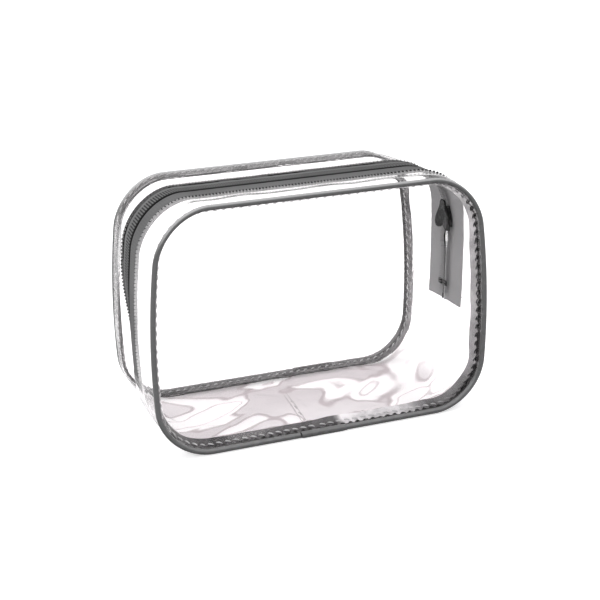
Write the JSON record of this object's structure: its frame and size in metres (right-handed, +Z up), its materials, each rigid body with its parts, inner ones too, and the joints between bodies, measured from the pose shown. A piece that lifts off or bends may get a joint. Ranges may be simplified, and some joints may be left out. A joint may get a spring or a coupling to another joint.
{
  "type": "clear makeup bag",
  "caption": "Clear zip-top toiletry and makeup bag with grey corded edges, a gusset that stands on its base, and a coil zip over the top and down both sides.",
  "frame": {"origin": "middle of the flat face of the bottom gusset that the bag stands on", "axes": "+Z up, +X along the width towards the side with the slider, the front panel faces -Y"},
  "size_m": [0.195, 0.0916, 0.1343],
  "materials": {
    "clear_film": "glossy clear flexible PVC film",
    "grey_vinyl": "glossy grey vinyl cover",
    "cord_core": "extruded plastic cord",
    "zip_tape": "woven polyester tape",
    "zip_coil": "nylon coil",
    "dark_metal": "black coated zinc casting",
    "thread": "twisted polyester thread",
    "dark_thread": "twisted polyester thread"
  },
  "bodies": {
    "bag": {"front_panel": "clear_film", "rear_panel": "clear_film", "bottom_gusset": "clear_film", "zip_strip_front": "clear_film", "zip_strip_rear": "clear_film", "front_piping_cover": "grey_vinyl", "rear_piping_cover": "grey_vinyl", "front_piping_cord": "cord_core", "rear_piping_cord": "cord_core", "front_piping_join": "grey_vinyl", "rear_piping_join": "grey_vinyl", "zip_tape_front": "zip_tape", "zip_tape_rear": "zip_tape", "zip_coil_front": "zip_coil", "zip_coil_rear": "zip_coil", "zip_top_stops": "dark_metal", "zip_bottom_stop": "dark_metal", "zip_end_tack": "dark_thread", "seam_thread_front": "thread", "seam_thread_rear": "thread", "zip_thread_front": "thread", "zip_thread_rear": "thread", "side_seam_thread_left": "thread", "side_seam_thread_right": "thread"},
    "slider": {"slider_body": "dark_metal"},
    "tab": {"pull_tab": "dark_metal"}
  },
  "joints": [
    {"name": "slider_travel", "type": "slide", "parent": "bag", "child": "slider", "axis": [0, 0, 1], "range_m": [-0.029, 0]},
    {"name": "pull_swing", "type": "hinge", "parent": "slider", "child": "tab", "pos_m": [0.0976, 0, 0.0995], "axis": [0, -1, 0], "range_deg": [0, 170]}
  ]
}
